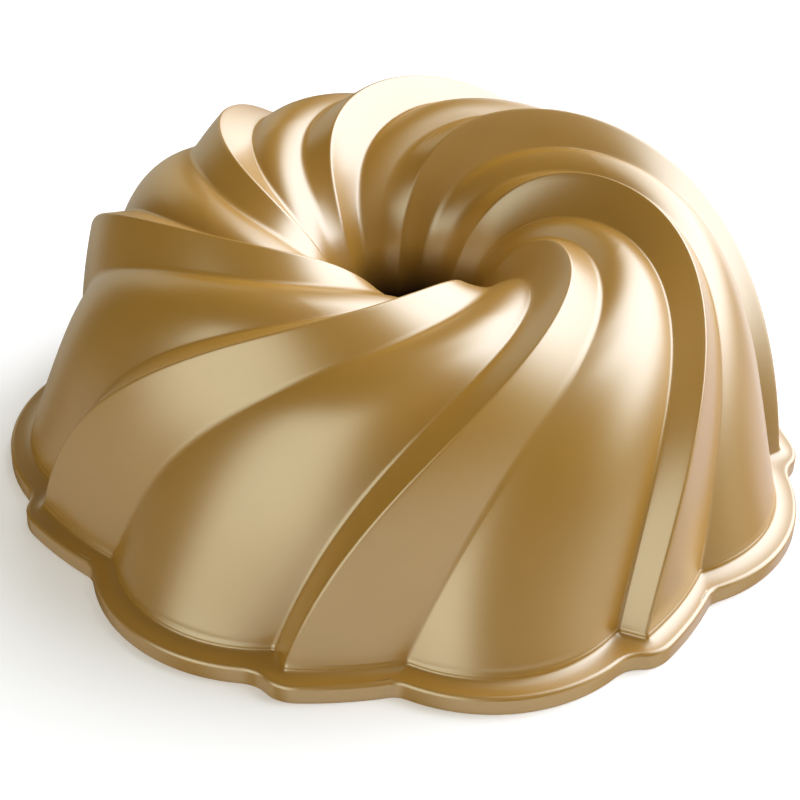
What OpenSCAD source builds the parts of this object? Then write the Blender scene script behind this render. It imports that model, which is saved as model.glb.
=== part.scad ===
// Swirled bundt pan, one casting with a lined cake side, standing mouth down.
// Millimetres, +Z up. The origin is on the pan's axis, in the plane its rim rests on.
// Angles run counter-clockwise seen from above, from the -Y direction.

/* [Flutes] */
// Number of identical flutes round the axis
flutes = 7; // [5:1:9]
// Wall thickness of the casting
wall = 3.2; // [2.4:0.1:4]
// Thickness of the release lining on the cake side
lining = 0.4; // [0.2:0.1:0.6]
// How far a lobe bulges at its foot
lobe_foot = 6.6; // [4:0.1:8]
// How far a lobe bulges over the crown
lobe_crown = 2.7; // [0.5:0.1:4]
// Share of the wall's height over which the foot bulge dies away
lobe_fade = 0.57; // [0.3:0.01:0.8]
// Flare added to the bulge right at the foot
lobe_flare = 1.4; // [0:0.1:2]
// Lean of the bulge towards the soft valley at the foot
lean_foot = 0.32; // [0:0.01:0.6]
// Lean of the bulge towards the soft valley over the crown
lean_crown = -0.18; // [-0.5:0.01:0.5]

/* [Crest line] */
// Radius of the crest at its foot
crest_r = 120.2; // [118:0.1:122]
// Radius where the crest is highest
crest_top_r = 63.3; // [58:0.1:66]
// Height of the crest
crest_h = 96.4; // [92:0.1:100]
// Radius of the crest at the throat
crest_throat_r = 18.6; // [18:0.1:21]
// Angle of the crest at its foot
crest_a = -66.95; // [-70:0.05:-64]
// Swirl of the crest, in degrees for each millimetre inwards
crest_swirl = 1.039; // [0.9:0.001:1.1]

/* [Soft valley line] */
// Radius of the soft valley at its foot
soft_r = 111.4; // [110:0.1:113]
// Radius where the soft valley is highest
soft_top_r = 63.2; // [60:0.1:66]
// Height of the soft valley
soft_h = 89.3; // [86:0.1:91]
// Radius of the soft valley at the throat
soft_throat_r = 20.6; // [19:0.1:22]
// Angle of the soft valley at its foot
soft_a = -50.3; // [-52:0.05:-48]
// Swirl of the soft valley, in degrees for each millimetre inwards
soft_swirl = 1.156; // [1.1:0.001:1.2]

/* [Sharp valley line] */
// Radius of the sharp valley at its foot
sharp_r = 113.2; // [112:0.1:114]
// Radius where the sharp valley is highest
sharp_top_r = 63.9; // [61:0.1:66]
// Height of the sharp valley
sharp_h = 87.8; // [85:0.1:90]
// Radius of the sharp valley at the throat
sharp_throat_r = 21.2; // [19:0.1:22]
// Angle of the sharp valley at its foot
sharp_a = -69.6; // [-70.5:0.05:-68.5]
// Swirl of the sharp valley, in degrees for each millimetre inwards
sharp_swirl = 0.947; // [0.9:0.001:1]

/* [Rim flange] */
// Height of the flange's top face
flange_h = 6.2; // [4:0.1:7]
// Height of the foot of the fluted wall
foot_h = 9; // [8.5:0.1:11]
// Width of the flange at a crest
flange_crest = 6.6; // [5:0.1:10]
// Width of the flange at the soft valley
flange_soft = 6.5; // [4:0.1:9]
// Width of the flange at the sharp valley
flange_sharp = 8.8; // [7:0.1:12]
// Bulge of the flange's outline along a lobe
flange_lobe = 7.5; // [5:0.1:9]
// How far the flange's notches turn back from the valleys, in degrees
flange_turn = 1.3; // [0:0.1:3]

/* [Centre tube] */
// Radius of the tube's open bore at the end near the rim
bore_r = 14.5; // [12:0.1:16]
// Height of the tube's end above the resting plane
tube_end = 5; // [3:0.5:20]

/* [Fineness] */
// Rings up the outer wall
wall_rings = 12; // [8:1:13]
// Rings from the crown down to the throat
throat_rings = 9; // [6:1:10]
// Rings down the round end of the tube
tube_rings = 3; // [2:1:4]

/* [Hidden] */
pitch = 360 / flutes;
// Positions of the section's points along the band, the lobe and the step
band_at = [0, 0.3, 0.6, 0.85];
lobe_at = [0, 0.07, 0.18, 0.32, 0.48, 0.64, 0.8, 0.93];
step_at = [0, 0.5];
around = flutes * (len(band_at) + len(lobe_at) + len(step_at));
// Profiles of the three lines: foot, two handles, top, two handles, throat
throat_h = 50;
crest_line = [[crest_r, foot_h], [crest_r - 7, 67.9], [92.4, crest_h], [crest_top_r, crest_h],
              [crest_top_r - 17.2, crest_h], [crest_throat_r + 7.8, 86.5], [crest_throat_r, throat_h]];
soft_line = [[soft_r, foot_h], [soft_r - 6.6, 52], [96.1, soft_h], [soft_top_r, soft_h],
             [soft_top_r - 3.3, soft_h], [soft_throat_r + 5, soft_h], [soft_throat_r, throat_h]];
sharp_line = [[sharp_r, foot_h], [sharp_r - 7.2, 54], [95.3, sharp_h], [sharp_top_r, sharp_h],
              [sharp_top_r - 1.2, sharp_h], [sharp_throat_r + 5, sharp_h], [sharp_throat_r, throat_h]];
// Growth of each line's swirl, in degrees for each square millimetre inwards
crest_curl = 0.00014;
soft_curl = 0.00012;
sharp_curl = 0.00022;
// Station where the flare at the lobe's foot has died away
flare_end = 0.16;
// Station where the lobe has died away, on its way down the funnel
lobe_end = 1.94;
// Sideways shift that keeps the casting's thickness across the steep step
step_shift = 0.35;
// The wall stands back this far from the nose of its foot
nose = 0.8;
// Rounding of the flange's outer top edge and of the tube's end
edge = 0.8;
// The lining stops this far above the resting plane
lining_h = 1.5;

gold = [0.72, 0.56, 0.32];
bronze = [0.52, 0.38, 0.22];

function bezier(a, b, c, d, t) =
    pow(1 - t, 3) * a + 3 * pow(1 - t, 2) * t * b + 3 * (1 - t) * t * t * c + t * t * t * d;

// Point of a profile: 0 foot, 1 top, 2 throat, 3 end of the tube
function profile(p, t) =
    t <= 1 ? bezier(p[0], p[1], p[2], p[3], t) :
    t <= 2 ? bezier(p[3], p[4], p[5], p[6], t - 1) :
    bezier(p[6], p[6] - [1.2, 16], [bore_r + 0.3, tube_end + 14], [bore_r, tube_end], t - 2);

// Unit normal of a profile, away from the metal
function normal(p, t) =
    let (d = profile(p, min(3, t + 0.01)) - profile(p, max(0, t - 0.01)))
    [d.y, -d.x] / norm(d);

// Angle of a line at radius r, from its angle, radius, swirl and curl at the foot
function swirled(a, r0, swirl, curl, r) = a + swirl * (r0 - r) + curl * pow(r0 - r, 2);

function lobe_bulge(t) =
    let (fade = max(0, 1 - t / lobe_fade), down = min(1, max(0, (t - 1) / (lobe_end - 1))))
    (lobe_crown + (lobe_foot - lobe_crown) * fade * fade) * (1 + cos(180 * down)) / 2;

// Share of the foot's flare left at station t
function flare(t) = pow(max(0, 1 - t / flare_end), 2);

function mix(a, b, v) = a * (1 - v) + b * v;
function place(r, a, z) = [r * sin(a), -r * cos(a), z];

// One closed ring from its crest, soft valley and sharp valley, each [radius, height, angle];
// the lobe bulges along the valleys' normals, leaning to the soft valley by lean
function ring(c, s, h, lobe, lean, ns, nh) = [
    for (k = [0 : flutes - 1])
        for (p = concat(
            [for (v = band_at) mix(c, s, v)],
            [for (v = lobe_at)
                mix(s, h, v) + 4 * v * (1 - v) * (1 + lean * (1 - 2 * v)) * lobe * mix(ns, nh, v)],
            [for (v = step_at) mix(h, c + [0, 0, pitch], v)]))
            place(p[0], p[2] + k * pitch, p[1])];

// Ring of the fluted wall at station t, moved by d along its normals
function wall_ring(t, d) =
    let (c = profile(crest_line, t), s = profile(soft_line, t), h = profile(sharp_line, t),
         ns = normal(soft_line, t), nh = normal(sharp_line, t),
         cd = c + d * normal(crest_line, t), sd = s + d * ns, hd = h + d * nh,
         turn = -d * step_shift * 180 / PI,
         ca = swirled(crest_a, crest_r, crest_swirl, crest_curl, c.x) + turn / cd.x,
         sa = swirled(soft_a, soft_r, soft_swirl, soft_curl, s.x),
         ha = swirled(sharp_a + pitch, sharp_r, sharp_swirl, sharp_curl, h.x) + turn / hd.x)
    ring([cd.x, cd.y, ca], [sd.x, sd.y, sa], [hd.x, hd.y, ha],
         lobe_bulge(t) + lobe_flare * flare(t), mix(lean_foot, lean_crown, min(1, t)) * (1 - flare(t)),
         [ns.x, ns.y, 0], [nh.x, nh.y, 0]);

// Ring of the flange: f is 0 at the wall's foot and 1 at the flange's outer edge
function flange_ring(f, z) =
    ring([crest_r + f * flange_crest, z, crest_a],
         [soft_r + f * flange_soft, z, soft_a - f * flange_turn],
         [sharp_r + f * flange_sharp, z, sharp_a + pitch - f * flange_turn],
         mix(lobe_foot + lobe_flare, flange_lobe, f), 0, [1, 0, 0], [1, 0, 0]);

stations = concat([for (i = [0 : wall_rings - 1]) i / wall_rings],
                  [for (i = [0 : throat_rings - 1]) 1 + i / throat_rings],
                  [for (i = [0 : tube_rings]) 2 + i / tube_rings]);
last = len(stations) - 1;

// Flange section from its underside to the foot of the wall: [position, height]
flange_section = [[1, 0], [1, flange_h - edge], [0.9, flange_h], [0.55, flange_h + 0.15],
                  [0.3, flange_h + 0.5], [0.12, flange_h + 1], [0.04, foot_h - 1.2], [0.02, foot_h]];

outer_rings = [for (i = [0 : last]) wall_ring(stations[i], i == 0 ? -nose / 4 : 0)];
function inner_rings(d) = [for (i = [last : -1 : 0]) wall_ring(stations[i], -d)];

// The mouth: the wall's inner face carried down to height z
function mouth_ring(d, z) = [for (p = wall_ring(0, -d)) [p.x, p.y, z]];

// Closed skin over rings that join up, first to last and round each ring
module skin(rings) {
    rows = len(rings);
    faces = [for (i = [0 : rows - 1], j = [0 : around - 1])
        let (a = i * around, b = ((i + 1) % rows) * around, n = (j + 1) % around)
        each [[a + j, b + n, a + n], [a + j, b + j, b + n]]];
    polyhedron(points = [for (r = rings) each r], faces = faces, convexity = 12);
}

// The whole casting: flange, fluted wall, crown, funnel and tube in one piece of metal
module cast_shell() {
    color(gold)
        skin(concat([for (s = flange_section) flange_ring(s[0], s[1])],
                    [for (i = [1 : last]) outer_rings[i]],
                    inner_rings(wall),
                    [mouth_ring(wall, lining_h), mouth_ring(wall, 0)]));
}

// The thin lining over the cake side, from just inside the mouth to the tube's end
module nonstick_lining() {
    color(bronze)
        skin(concat([for (i = [0 : last]) wall_ring(stations[i], -wall)],
                    inner_rings(wall + lining),
                    [mouth_ring(wall + lining, lining_h), mouth_ring(wall, lining_h)]));
}

cast_shell();
nonstick_lining();
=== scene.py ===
import math

import bpy
import numpy as np
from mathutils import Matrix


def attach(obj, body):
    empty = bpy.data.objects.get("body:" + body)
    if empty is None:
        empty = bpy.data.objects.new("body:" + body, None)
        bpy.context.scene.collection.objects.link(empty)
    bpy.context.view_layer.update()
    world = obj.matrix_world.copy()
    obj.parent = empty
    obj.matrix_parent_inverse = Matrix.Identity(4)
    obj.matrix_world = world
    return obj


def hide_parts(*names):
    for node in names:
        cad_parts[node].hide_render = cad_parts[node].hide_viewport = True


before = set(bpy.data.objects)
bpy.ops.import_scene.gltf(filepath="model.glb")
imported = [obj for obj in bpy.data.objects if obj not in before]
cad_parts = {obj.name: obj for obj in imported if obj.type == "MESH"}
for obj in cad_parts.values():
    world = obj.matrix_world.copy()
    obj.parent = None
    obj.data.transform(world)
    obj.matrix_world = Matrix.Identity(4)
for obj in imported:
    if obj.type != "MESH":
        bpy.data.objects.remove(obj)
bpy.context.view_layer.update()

# ------------------------------------------------------------------ shape, in millimetres
# Angles run counter-clockwise seen from above, in degrees from the -Y direction. A station t on
# the wall is 0 at its foot, 1 at the crown, 2 at the throat and 3 at the tube's lower end.
FLUTES = 7
PITCH = 360 / FLUTES
WALL = 3.2
LINING = 0.4
FLANGE_H = 6.2
FOOT_H = 9.0
BORE_R = 14.5
TUBE_END = 5.0
THROAT_H = 50.0
CREST_R, CREST_H, CREST_TOP_R, CREST_THROAT_R = 120.2, 96.4, 63.3, 18.6
SOFT_R, SOFT_H, SOFT_TOP_R, SOFT_THROAT_R = 111.4, 89.3, 63.2, 20.6
SHARP_R, SHARP_H, SHARP_TOP_R, SHARP_THROAT_R = 113.2, 87.8, 63.9, 21.2
# Angle at the foot, swirl in degrees per millimetre inwards, and the swirl's growth
CREST_A, CREST_SWIRL, CREST_CURL = -66.95, 1.039, 0.00014
SOFT_A, SOFT_SWIRL, SOFT_CURL = -50.3, 1.156, 0.00012
SHARP_A, SHARP_SWIRL, SHARP_CURL = -69.6, 0.947, 0.00022
# Width of the flange at each line, its bulge along a lobe and its notches' turn, in degrees
FLANGE_CREST, FLANGE_SOFT, FLANGE_SHARP = 6.6, 6.5, 8.8
FLANGE_LOBE, FLANGE_TURN = 7.45, 1.3
# Bulge of a lobe at its foot and crown, and the stations where the foot's part and the lobe end
LOBE_FOOT, LOBE_CROWN, LOBE_FADE, LOBE_END = 6.6, 2.7, 0.57, 1.94
# Lean of the bulge towards the soft valley, and the flare added right at the foot
LEAN_FOOT, LEAN_CROWN = 0.32, -0.18
LOBE_FLARE, FLARE_END = 1.4, 0.28
# Sideways shift of the cake side, as a share of the wall's thickness
STEP_SHIFT = 0.35
# Height of the lining's rim above the resting plane, and the height and width of its bevel
LINING_H, LIP_RISE, LIP_IN = 1.5, 0.3, 0.2
# Bevel round the inside of the casting's mouth
MOUTH_RISE, MOUTH_OUT = 0.5, 0.5
MM = 0.001

# Bezier points [radius, height] of each line: foot, two handles, crown, two handles, throat
CREST = [(CREST_R, FOOT_H), (CREST_R - 7, 67.9), (92.4, CREST_H), (CREST_TOP_R, CREST_H),
         (CREST_TOP_R - 17.2, CREST_H), (CREST_THROAT_R + 7.8, 86.5), (CREST_THROAT_R, THROAT_H)]
SOFT = [(SOFT_R, FOOT_H), (SOFT_R - 6.6, 52), (96.1, SOFT_H), (SOFT_TOP_R, SOFT_H),
        (SOFT_TOP_R - 3.3, SOFT_H), (SOFT_THROAT_R + 5, SOFT_H), (SOFT_THROAT_R, THROAT_H)]
SHARP = [(SHARP_R, FOOT_H), (SHARP_R - 7.2, 54), (95.3, SHARP_H), (SHARP_TOP_R, SHARP_H),
         (SHARP_TOP_R - 1.2, SHARP_H), (SHARP_THROAT_R + 5, SHARP_H), (SHARP_THROAT_R, THROAT_H)]
# Points round one flute: crest fillet, band, soft valley, lobe, sharp valley, step
AROUND = (7, 12, 9, 22, 7, 8)
# How far the crest, soft valley and sharp valley are rounded, and the soft valley's growth uphill
CREST_CUT, SOFT_CUT, SOFT_CUT_RISE, SHARP_CUT = 0.9, 0.9, 0.8, 1.2
LEAST_CUT = 0.01
# Growth of the same three roundings from the wall's foot out to the flange's edge
CREST_GROWTH, SOFT_GROWTH, SHARP_GROWTH = 4.5, 1.5, 3
# Limits of a rounding as a share of the face it cuts, and how full its curve is
SHARE_MIN, SHARE_MAX, FILLET_PULL = 0.005, 0.42, 0.62
# Control points of the centre tube, from the throat and from its lower end
TUBE_TOP_IN, TUBE_TOP_DOWN, TUBE_FLARE, TUBE_STRAIGHT = 1.2, 16, 0.3, 14
# Half the step in t over which a profile's direction is taken
SLOPE_STEP = 0.004
# Stations up the wall, down the funnel and down the tube, on the outside and on the cake side
OUTER_STATIONS, INNER_STATIONS = (96, 76, 16), (56, 44, 10)


def bezier(p, t):
    """Points at t on the cubic with the four control points p."""
    p = [np.asarray(q, float) for q in p]
    t = np.asarray(t)[..., None]
    return ((1 - t) ** 3 * p[0] + 3 * (1 - t) ** 2 * t * p[1]
            + 3 * (1 - t) * t * t * p[2] + t ** 3 * p[3])


def profile(line, t):
    """Points [radius, height] of a ridge or valley line at stations t."""
    t = np.asarray(t, float)
    up = bezier(line[0:4], np.clip(t, 0, 1))
    down = bezier(line[3:7], np.clip(t - 1, 0, 1))
    e = line[6]
    tube = bezier([e, (e[0] - TUBE_TOP_IN, e[1] - TUBE_TOP_DOWN),
                   (BORE_R + TUBE_FLARE, TUBE_END + TUBE_STRAIGHT), (BORE_R, TUBE_END)],
                  np.clip(t - 2, 0, 1))
    return np.where(t[..., None] <= 1, up, np.where(t[..., None] <= 2, down, tube))


def normal(line, t):
    """Unit normals of a profile in its own plane, away from the metal."""
    t = np.asarray(t, float)
    d = profile(line, np.minimum(3, t + SLOPE_STEP)) - profile(line, np.maximum(0, t - SLOPE_STEP))
    return np.stack([d[..., 1], -d[..., 0]], -1) / np.linalg.norm(d, axis=-1)[..., None]


def lobe_bulge(t):
    """Bulge of a lobe at stations t, without the flare at its foot."""
    fade = np.maximum(0, 1 - t / LOBE_FADE)
    down = np.clip((t - 1) / (LOBE_END - 1), 0, 1)
    return (LOBE_CROWN + (LOBE_FOOT - LOBE_CROWN) * fade * fade) * (1 + np.cos(math.pi * down)) / 2


def flare(t):
    """Share of the foot's flare left at stations t."""
    return np.maximum(0, 1 - t / FLARE_END) ** 2


def swirled(a, r0, swirl, curl, r):
    """Angle at radius r of a line whose foot is at angle a and radius r0."""
    return a + swirl * (r0 - r) + curl * (r0 - r) ** 2


def section(c, s, h, lobe, lean, ns, nh, cuts):
    """Rings of one flute as [radius, height, angle]. c, s and h are the crest, soft valley and
    sharp valley of each ring. The lobe bulges by lobe, leaning to the soft valley by lean, along
    the valleys' normals ns and nh. cuts are how far each corner is rounded, in millimetres."""
    nxt = c + np.array([0, 0, PITCH])

    def flat(a, b, v):
        v = np.asarray(v)[..., None]
        return a[:, None] * (1 - v) + b[:, None] * v, (b - a)[:, None] + 0 * v

    def bulged(v):
        v = np.asarray(v)[..., None]
        k, size = lean[:, None, None], lobe[:, None, None]
        n0, n1 = ns[:, None], nh[:, None]
        out = n0 * (1 - v) + n1 * v
        f = 4 * v * (1 - v) * (1 + k * (1 - 2 * v))
        df = 4 * (1 - 2 * v) * (1 + k * (1 - 2 * v)) - 8 * k * v * (1 - v)
        p, d = flat(s, h, v[..., 0])
        return p + f * size * out, d + size * (df * out + f * (n1 - n0))

    def length(a, b):
        ra, rb = np.radians(a[:, 2]), np.radians(b[:, 2])
        x = a[:, 0] * np.sin(ra) - b[:, 0] * np.sin(rb)
        y = a[:, 0] * np.cos(ra) - b[:, 0] * np.cos(rb)
        return np.sqrt(x * x + y * y + (a[:, 1] - b[:, 1]) ** 2)

    def share(cut, size):
        return np.clip(cut / size, SHARE_MIN, SHARE_MAX)[:, None]

    def between(a, b, n):
        u = np.arange(n) / n
        return a * (1 - u) + b * u

    def fillet(p0, d0, w0, p1, d1, w1, n):
        u = (np.arange(n) / n)[None, :, None]
        q0 = p0 + FILLET_PULL * d0 * w0[..., None]
        q1 = p1 - FILLET_PULL * d1 * w1[..., None]
        return (1 - u) ** 3 * p0 + 3 * (1 - u) ** 2 * u * q0 + 3 * (1 - u) * u * u * q1 + u ** 3 * p1

    band_l, lobe_l, step_l = length(c, s), length(s, h), length(h, nxt)
    crest_cut, soft_cut, sharp_cut = cuts
    b0, b1 = share(crest_cut, band_l), 1 - share(soft_cut, band_l)
    l0, l1 = share(soft_cut, lobe_l), 1 - share(sharp_cut, lobe_l)
    s0, s1 = share(sharp_cut, step_l), 1 - share(crest_cut, step_l)
    n = AROUND
    return np.concatenate([
        fillet(*flat(h - np.array([0, 0, PITCH]), c, s1), 1 - s1, *flat(c, s, b0), b0, n[0]),
        flat(c, s, between(b0, b1, n[1]))[0],
        fillet(*flat(c, s, b1), 1 - b1, *bulged(l0), l0, n[2]),
        bulged(between(l0, l1, n[3]))[0],
        fillet(*bulged(l1), 1 - l1, *flat(h, nxt, s0), s0, n[4]),
        flat(h, nxt, between(s0, s1, n[5]))[0]], 1)


def wall_rings(t, d):
    """Rings of the fluted wall at stations t, moved by d along the normal."""
    t = np.asarray(t, float)
    d = np.broadcast_to(np.asarray(d, float), t.shape)
    c, s, h = profile(CREST, t), profile(SOFT, t), profile(SHARP, t)
    ns, nh = normal(SOFT, t), normal(SHARP, t)
    cd, sd, hd = c + d[:, None] * normal(CREST, t), s + d[:, None] * ns, h + d[:, None] * nh
    # the cake side shifts sideways to keep the metal's thickness across the steep step
    turn = np.where(d <= -WALL, -d * STEP_SHIFT * 180 / math.pi, 0)
    ca = swirled(CREST_A, CREST_R, CREST_SWIRL, CREST_CURL, c[:, 0]) + turn / cd[:, 0]
    sa = swirled(SOFT_A, SOFT_R, SOFT_SWIRL, SOFT_CURL, s[:, 0])
    ha = swirled(SHARP_A + PITCH, SHARP_R, SHARP_SWIRL, SHARP_CURL, h[:, 0]) + turn / hd[:, 0]
    # the roundings die away down the tube, where the flutes do
    fade = np.clip(3 - t, 0, 1)
    soft_cut = SOFT_CUT + SOFT_CUT_RISE * np.clip(2 * t, 0, 1)
    cuts = [cut * fade + LEAST_CUT for cut in (CREST_CUT, soft_cut, SHARP_CUT)]
    zero = 0 * t
    return section(np.column_stack([cd, ca]), np.column_stack([sd, sa]), np.column_stack([hd, ha]),
                   lobe_bulge(t) + LOBE_FLARE * flare(t),
                   (LEAN_FOOT + (LEAN_CROWN - LEAN_FOOT) * np.minimum(1, t)) * (1 - flare(t)),
                   np.column_stack([ns, zero]), np.column_stack([nh, zero]), cuts)


def flange_rings(spots):
    """Rings of the flange. A spot is [f, e, z]: f is 0 at the wall's foot and 1 at the outer edge,
    e is a further move outwards in millimetres and z a height."""
    f, e, z = np.array(spots, float).T
    one = np.ones_like(f)
    c = np.column_stack([CREST_R + f * FLANGE_CREST + e, z, CREST_A * one])
    s = np.column_stack([SOFT_R + f * FLANGE_SOFT + e, z, SOFT_A - f * FLANGE_TURN])
    h = np.column_stack([SHARP_R + f * FLANGE_SHARP + e, z, SHARP_A + PITCH - f * FLANGE_TURN])
    out = np.column_stack([one, 0 * one, 0 * one])
    foot_bulge = LOBE_FOOT + LOBE_FLARE
    return section(c, s, h, foot_bulge + (FLANGE_LOBE - foot_bulge) * f, 0 * f, out, out,
                   (CREST_CUT + CREST_GROWTH * f, SOFT_CUT + SOFT_GROWTH * f,
                    SHARP_CUT + SHARP_GROWTH * f))


def place(rings):
    """Repeats one flute's rings round the axis, as x, y, z in metres."""
    turn = np.arange(FLUTES) * PITCH
    th = np.radians(rings[:, None, :, 2] + turn[None, :, None])
    r = np.broadcast_to(rings[:, None, :, 0], th.shape)
    z = np.broadcast_to(rings[:, None, :, 1], th.shape)
    return np.stack([r * np.sin(th), -r * np.cos(th), z], -1).reshape(len(rings), -1, 3) * MM


def arc(centre, radius, a0, a1, n, f=0.0):
    """Spots [f, e, z] along an arc in the flange's section, angles in degrees."""
    a = np.radians(np.linspace(a0, a1, n))
    return [[f, centre[0] + radius * math.cos(x), centre[1] + radius * math.sin(x)] for x in a]


def closed_mesh(name, grid):
    """A closed skin over rings that join up, first to last and round each ring."""
    rows, cols, _ = grid.shape
    i, j = np.meshgrid(np.arange(rows), np.arange(cols), indexing="ij")
    i2, j2 = (i + 1) % rows, (j + 1) % cols
    quads = np.stack([i * cols + j, i * cols + j2, i2 * cols + j2, i2 * cols + j], -1).reshape(-1, 4)
    mesh = bpy.data.meshes.new(name)
    mesh.vertices.add(rows * cols)
    mesh.vertices.foreach_set("co", grid.reshape(-1).astype(np.float32))
    mesh.loops.add(quads.size)
    mesh.loops.foreach_set("vertex_index", quads.reshape(-1).astype(np.int32))
    mesh.polygons.add(len(quads))
    mesh.polygons.foreach_set("loop_start", (np.arange(len(quads)) * 4).astype(np.int32))
    mesh.polygons.foreach_set("loop_total", np.full(len(quads), 4, np.int32))
    mesh.update(calc_edges=True)
    mesh.validate()
    mesh.shade_smooth()
    obj = bpy.data.objects.new(name, mesh)
    bpy.context.scene.collection.objects.link(obj)
    return obj


def stations(wall, throat, tube):
    """Stations with the given numbers up the wall, down the funnel and down the tube."""
    return np.concatenate([np.arange(wall) / wall, 1 + np.arange(throat) / throat,
                           2 + np.linspace(0, 1, tube)])


fine, coarse = stations(*OUTER_STATIONS), stations(*INNER_STATIONS)

# Flange from the underside's outer edge, up and in to the wall's foot
UNDER_R, UNDER_INSET, UNDER_NEAR, RIM_R = 0.6, 3, 1.2, 1.3
RIM_SUPPORTS = (2.0, 3.5)
COVE_OUT, COVE_RISE, COVE_STEPS = 0.78, 1.5, 13
NOSE_R, NOSE_OUT, NOSE_LIFT, NOSE_TURN = 1.2, 0.45, 0.05, 46
edge = [[1, -UNDER_INSET, 0], [1, -UNDER_NEAR, 0]]
edge += arc((-UNDER_R, UNDER_R), UNDER_R, -90, 0, 5, 1)
edge += [[1, 0, z] for z in RIM_SUPPORTS]
edge += arc((-RIM_R, FLANGE_H - RIM_R), RIM_R, 0, 90, 9, 1)
# the cove rises from the flange's top to the nose at the wall's foot
cove = []
for k in range(COVE_STEPS + 1):
    a = math.pi / 2 * k / COVE_STEPS
    cove.append([COVE_OUT * (1 - math.sin(a)), NOSE_OUT * math.sin(a),
                 FLANGE_H + COVE_RISE * (1 - math.cos(a))])
nose = arc((NOSE_OUT - NOSE_R, FOOT_H - NOSE_R + NOSE_LIFT), NOSE_R, 0, NOSE_TURN, 7)
foot = flange_rings(edge + cove + nose)

outer = wall_rings(fine, 0)
inner = wall_rings(coarse[::-1], -WALL)
mouth = wall_rings(np.zeros(3), -WALL)
mouth[:, :, 1] = np.array([LINING_H, MOUTH_RISE, 0.0])[:, None]
mouth[2, :, 0] += MOUTH_OUT
casting = closed_mesh("casting", place(np.concatenate([foot, outer, inner, mouth])))

back = wall_rings(coarse, -WALL)
front = wall_rings(coarse[::-1], -WALL - LINING)
lip = wall_rings(np.zeros(2), -WALL - LINING)
lip[0, :, 1], lip[1, :, 1] = LINING_H + LIP_RISE, LINING_H
lip[1, :, 0] += LIP_IN
root = wall_rings(np.zeros(1), -WALL)
root[:, :, 1] = LINING_H
lining = closed_mesh("lining", place(np.concatenate([back, front, lip, root])))


# ------------------------------------------------------------------ materials
def new_material(name):
    """A node material, its nodes, its links and its shader."""
    m = bpy.data.materials.new(name)
    m.use_nodes = True
    return m, m.node_tree.nodes, m.node_tree.links, m.node_tree.nodes["Principled BSDF"]


def noise(nodes, links, scale, detail, rough=0.5):
    """A noise texture in the object's own space."""
    co = nodes.new("ShaderNodeTexCoord")
    n = nodes.new("ShaderNodeTexNoise")
    n.inputs["Scale"].default_value = scale
    n.inputs["Detail"].default_value = detail
    n.inputs["Roughness"].default_value = rough
    links.new(co.outputs["Object"], n.inputs["Vector"])
    return n


def span(nodes, links, source, lo, hi, low, high):
    """Carries source from the range lo to hi to the range low to high, clamped."""
    r = nodes.new("ShaderNodeMapRange")
    r.inputs["From Min"].default_value, r.inputs["From Max"].default_value = lo, hi
    r.inputs["To Min"].default_value, r.inputs["To Max"].default_value = low, high
    links.new(source, r.inputs["Value"])
    return r.outputs["Result"]


def mix(nodes, links, factor, a, b):
    """Colour a to colour b by factor."""
    m = nodes.new("ShaderNodeMix")
    m.data_type = "RGBA"
    m.inputs["A"].default_value = (*a, 1)
    m.inputs["B"].default_value = (*b, 1)
    links.new(factor, m.inputs["Factor"])
    return m.outputs["Result"]


# Noise scales per metre: slow clouding of the colour, fine grain and a shallow ripple
CLOUD_SCALE, GRAIN_SCALE, RIPPLE_SCALE = 22, 1500, 160
RIPPLE_STRENGTH, RIPPLE_DEPTH = 0.03, 0.00003


def satin(name, dark, light, rough_lo, rough_hi, ior, tint):
    """A satin finish between two colours and two roughnesses: the material and its parts."""
    m, nodes, links, bsdf = new_material(name)
    cloud = noise(nodes, links, CLOUD_SCALE, 3)
    grain = noise(nodes, links, GRAIN_SCALE, 2, 0.6)
    ripple = noise(nodes, links, RIPPLE_SCALE, 2)
    blend = span(nodes, links, cloud.outputs["Fac"], 0.35, 0.65, 0, 1)
    colour = mix(nodes, links, blend, dark, light)
    links.new(colour, bsdf.inputs["Base Color"])
    links.new(span(nodes, links, grain.outputs["Fac"], 0.3, 0.7, rough_lo, rough_hi),
              bsdf.inputs["Roughness"])
    bump = nodes.new("ShaderNodeBump")
    bump.inputs["Strength"].default_value = RIPPLE_STRENGTH
    bump.inputs["Distance"].default_value = RIPPLE_DEPTH
    links.new(ripple.outputs["Fac"], bump.inputs["Height"])
    links.new(bump.outputs["Normal"], bsdf.inputs["Normal"])
    bsdf.inputs["IOR"].default_value = ior
    bsdf.inputs["Specular Tint"].default_value = (*tint, 1)
    return m, nodes, links, bsdf, colour


# Painted shade down inside the tube: dark within TUBE_NEAR of the axis and below TUBE_DARK_H, gold
# from the others
TUBE_NEAR, TUBE_FAR, TUBE_DARK_H, TUBE_LIT_H = 34, 44, 46, 62
# Colour of the painted shade down inside the tube
TUBE_SHADE_COLOUR = (0.03, 0.016, 0.01)
# Specular level of the gold; the painted shade in the tube fades it to 0, taking its reflections
# away
SPECULAR_LEVEL = 0.5


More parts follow.
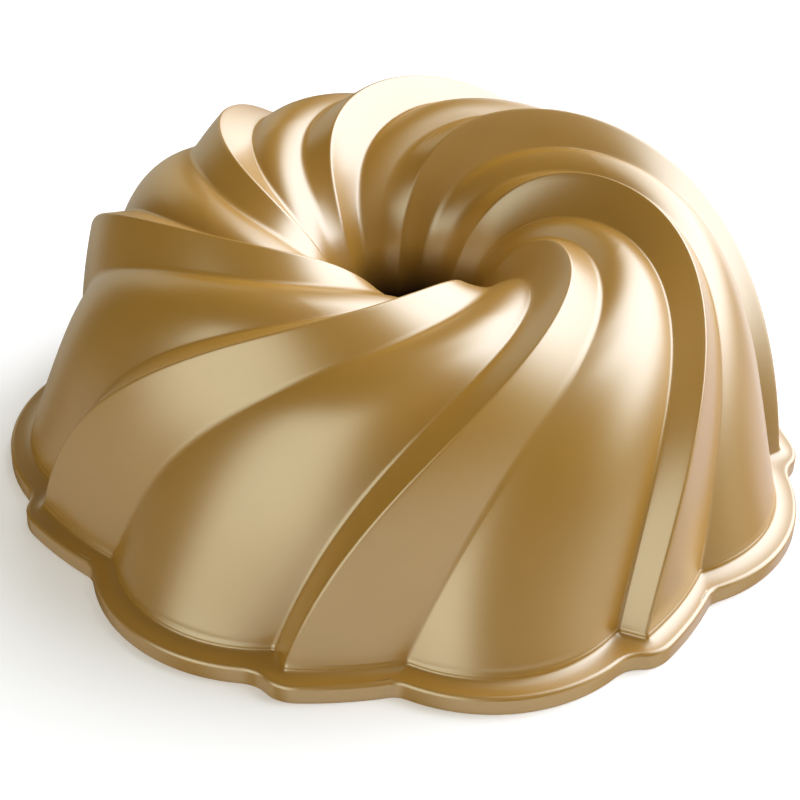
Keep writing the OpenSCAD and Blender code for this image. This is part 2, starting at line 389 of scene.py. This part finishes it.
def paint_tube_shade(nodes, links, bsdf, colour):
    """Painted shade down inside the tube, a dark colour with no specular reflection: by height, and
    only near the axis.
    """
    co = nodes.new("ShaderNodeTexCoord")
    flat = nodes.new("ShaderNodeVectorMath")
    flat.operation = "MULTIPLY"
    flat.inputs[1].default_value = (1, 1, 0)
    links.new(co.outputs["Object"], flat.inputs[0])
    radius = nodes.new("ShaderNodeVectorMath")
    radius.operation = "LENGTH"
    links.new(flat.outputs[0], radius.inputs[0])
    axes = nodes.new("ShaderNodeSeparateXYZ")
    links.new(co.outputs["Object"], axes.inputs[0])
    near = span(nodes, links, radius.outputs["Value"], TUBE_NEAR * MM, TUBE_FAR * MM, 0, 1)
    high = span(nodes, links, axes.outputs["Z"], TUBE_DARK_H * MM, TUBE_LIT_H * MM, 0, 1)
    unshaded = nodes.new("ShaderNodeMath")
    unshaded.operation = "MAXIMUM"
    links.new(near, unshaded.inputs[0])
    links.new(high, unshaded.inputs[1])
    shade = nodes.new("ShaderNodeMix")
    shade.data_type = "RGBA"
    shade.inputs["A"].default_value = (*TUBE_SHADE_COLOUR, 1)
    links.new(colour, shade.inputs["B"])
    links.new(unshaded.outputs[0], shade.inputs["Factor"])
    links.new(shade.outputs["Result"], bsdf.inputs["Base Color"])
    # the painted shade also takes away the specular reflection
    level = span(nodes, links, unshaded.outputs[0], 0, 1, 0.0, SPECULAR_LEVEL)
    links.new(level, bsdf.inputs["Specular IOR Level"])


gold, *gold_parts = satin("satin_gold", dark=(0.40, 0.197, 0.021), light=(0.425, 0.208, 0.023),
                          rough_lo=0.31, rough_hi=0.32, ior=2.8, tint=(1, 0.98, 0.82))
# painted shade down inside the tube, darker near the axis and towards its lower end
paint_tube_shade(*gold_parts)
bronze = satin("release_bronze", dark=(0.11, 0.055, 0.02), light=(0.13, 0.065, 0.024),
               rough_lo=0.34, rough_hi=0.42, ior=1.8, tint=(1, 0.95, 0.85))[0]
casting.data.materials.append(gold)
lining.data.materials.append(bronze)
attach(casting, "root")
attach(lining, "root")
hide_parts("cast_shell")
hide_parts("nonstick_lining")

# ------------------------------------------------------------------ floor
FLOOR_SIZE = 60
FLOOR_GLOW = 0.22
bpy.ops.mesh.primitive_plane_add(size=FLOOR_SIZE, location=(0, 0, 0))
floor = bpy.context.object
floor.name = "floor"
fm, _, _, fb = new_material("pale_floor")
fb.inputs["Base Color"].default_value = (0.9, 0.875, 0.825, 1)
fb.inputs["Emission Color"].default_value = (1, 0.99, 0.97, 1)
fb.inputs["Emission Strength"].default_value = FLOOR_GLOW
fb.inputs["Roughness"].default_value = 0.9
fb.inputs["Specular IOR Level"].default_value = 0.0
floor.data.materials.append(fm)
floor.visible_glossy = False

# ------------------------------------------------------------------ camera
# Degrees, degrees, millimetres, and the focal length as a multiple of the picture's width
ELEVATION, ROLL, DISTANCE, FOCAL = 36.07, 2.156, 678.6, 2.59475
# Where the origin falls, right of and below the picture's middle, as shares of its width
ORIGIN_RIGHT, ORIGIN_BELOW = 0.01075, 0.054
SENSOR, CLIP_NEAR, CLIP_FAR = 36.0, 0.01, 100
e = math.radians(ELEVATION)
look = np.array([0, math.cos(e), -math.sin(e)])
right = np.array([1.0, 0, 0])
up = np.array([0, math.sin(e), math.cos(e)])
shift_x = ORIGIN_RIGHT / FOCAL * DISTANCE
shift_y = ORIGIN_BELOW / FOCAL * DISTANCE
spot = (-DISTANCE * look - shift_x * right + shift_y * up) * MM
cam_data = bpy.data.cameras.new("camera")
cam_data.sensor_width = SENSOR
cam_data.lens = FOCAL * SENSOR
cam_data.clip_start, cam_data.clip_end = CLIP_NEAR, CLIP_FAR
cam = bpy.data.objects.new("camera", cam_data)
bpy.context.scene.collection.objects.link(cam)
cam.location = spot
cam.rotation_euler = (math.pi / 2 - e, 0, 0)
cam.rotation_euler.rotate_axis("Z", math.radians(ROLL))
bpy.context.scene.camera = cam

# ------------------------------------------------------------------ light
# Soft boxes: azimuth from, to, edge; elevation from, to, edge (degrees); strength; colour.
# Azimuth 0 is towards -Y and 90 towards +X.
BOXES = [
    (80, 162, 36, 2, 64, 24, 3.4, (0.94, 0.98, 1.34)),
    (70, 168, 30, -2, 70, 24, 0.5, (0.9, 1.15, 0.3)),
    (146, 176, 20, -30, 6, 18, 2.0, (0.94, 1.0, 1.15)),
    (112, 150, 16, -54, -14, 14, 0.85, (0.92, 1.0, 1.3)),
    (-64, -8, 24, -18, 43, 18, 1.7, (1.0, 1.03, 0.92)),
    (-170, -136, 14, -30, 30, 14, 0.6, (0.98, 1.02, 0.95)),
    (-30, 96, 34, -62, -14, 14, 0.6, (1.0, 1.03, 1.0)),
    (-125, -60, 20, -62, -20, 16, 0.35, (1.0, 1.02, 1.0)),
]
# Light from every direction
AMBIENT = 0.012

world = bpy.data.worlds.new("studio")
bpy.context.scene.world = world
world.use_nodes = True
wn, wl = world.node_tree.nodes, world.node_tree.links
background = wn["Background"]
co = wn.new("ShaderNodeTexCoord")
axes = wn.new("ShaderNodeSeparateXYZ")
wl.new(co.outputs["Generated"], axes.inputs[0])


def maths(kind, a, b=None):
    """A maths node on values or sockets."""
    n = wn.new("ShaderNodeMath")
    n.operation = kind
    for k, v in enumerate((a, b)):
        if v is None:
            continue
        if isinstance(v, (int, float)):
            n.inputs[k].default_value = v
        else:
            wl.new(v, n.inputs[k])
    return n.outputs[0]


def rise(value, middle, width):
    """0 to 1 smoothly as value passes middle."""
    r = wn.new("ShaderNodeMapRange")
    r.interpolation_type = "SMOOTHSTEP"
    wl.new(value, r.inputs["Value"])
    r.inputs["From Min"].default_value = middle - width / 2
    r.inputs["From Max"].default_value = middle + width / 2
    return r.outputs["Result"]


def added(a, b):
    """The sum of two colours, each a socket or three values."""
    n = wn.new("ShaderNodeVectorMath")
    n.operation = "ADD"
    for k, v in enumerate((a, b)):
        if isinstance(v, tuple):
            n.inputs[k].default_value = v
        else:
            wl.new(v, n.inputs[k])
    return n.outputs[0]


DEGREES = 180 / math.pi
towards_viewer = maths("MULTIPLY", axes.outputs[1], -1.0)
azimuth = maths("MULTIPLY", maths("ARCTAN2", axes.outputs[0], towards_viewer), DEGREES)
height = maths("MULTIPLY", maths("ARCSINE", axes.outputs[2]), DEGREES)
total = (AMBIENT,) * 3
for a0, a1, ae, h0, h1, he, strength, colour in BOXES:
    # turn the azimuth so that the box's middle is 0, and no box is cut at the back
    mid = (a0 + a1) / 2
    wrapped = maths("WRAP", maths("SUBTRACT", azimuth, mid), -180.0)
    wrapped.node.inputs[1].default_value, wrapped.node.inputs[2].default_value = 180.0, -180.0
    off = maths("ABSOLUTE", wrapped)
    side = maths("SUBTRACT", 1.0, rise(off, (a1 - a0) / 2, ae))
    low = rise(height, h0, he)
    high = maths("SUBTRACT", 1.0, rise(height, h1, he))
    shape = maths("MULTIPLY", maths("MULTIPLY", side, low), maths("MULTIPLY", high, strength))
    tint = wn.new("ShaderNodeVectorMath")
    tint.operation = "SCALE"
    tint.inputs[0].default_value = colour
    wl.new(shape, tint.inputs["Scale"])
    total = added(total, tint.outputs[0])
wl.new(total, background.inputs["Color"])
bpy.context.scene.view_settings.view_transform = "Standard"

# Soft fill from all round, too wide and dim to show as a reflection
FILL_LIGHTS, FILL_SIZE, FILL_DISTANCE, FILL_HEIGHT, FILL_POWER = 6, 0.9, 1.2, 55, 1.1
# The fill is stronger by FILL_LEAN towards this azimuth, and weaker by it on the other side
FILL_SIDE, FILL_LEAN = 110, 0.6
for k in range(FILL_LIGHTS):
    turn = 2 * math.pi * (k + 0.5) / FILL_LIGHTS
    lift = math.radians(FILL_HEIGHT)
    data = bpy.data.lights.new("fill_%d" % k, "AREA")
    data.size = FILL_SIZE
    data.energy = FILL_POWER * (1 + FILL_LEAN * math.cos(turn - math.radians(FILL_SIDE)))
    lamp = bpy.data.objects.new(data.name, data)
    bpy.context.scene.collection.objects.link(lamp)
    reach = FILL_DISTANCE * math.cos(lift)
    lamp.location = (reach * math.sin(turn), -reach * math.cos(turn), FILL_DISTANCE * math.sin(lift))
    lamp.rotation_euler = (math.pi / 2 - lift, 0, turn)
    lamp.visible_glossy = False
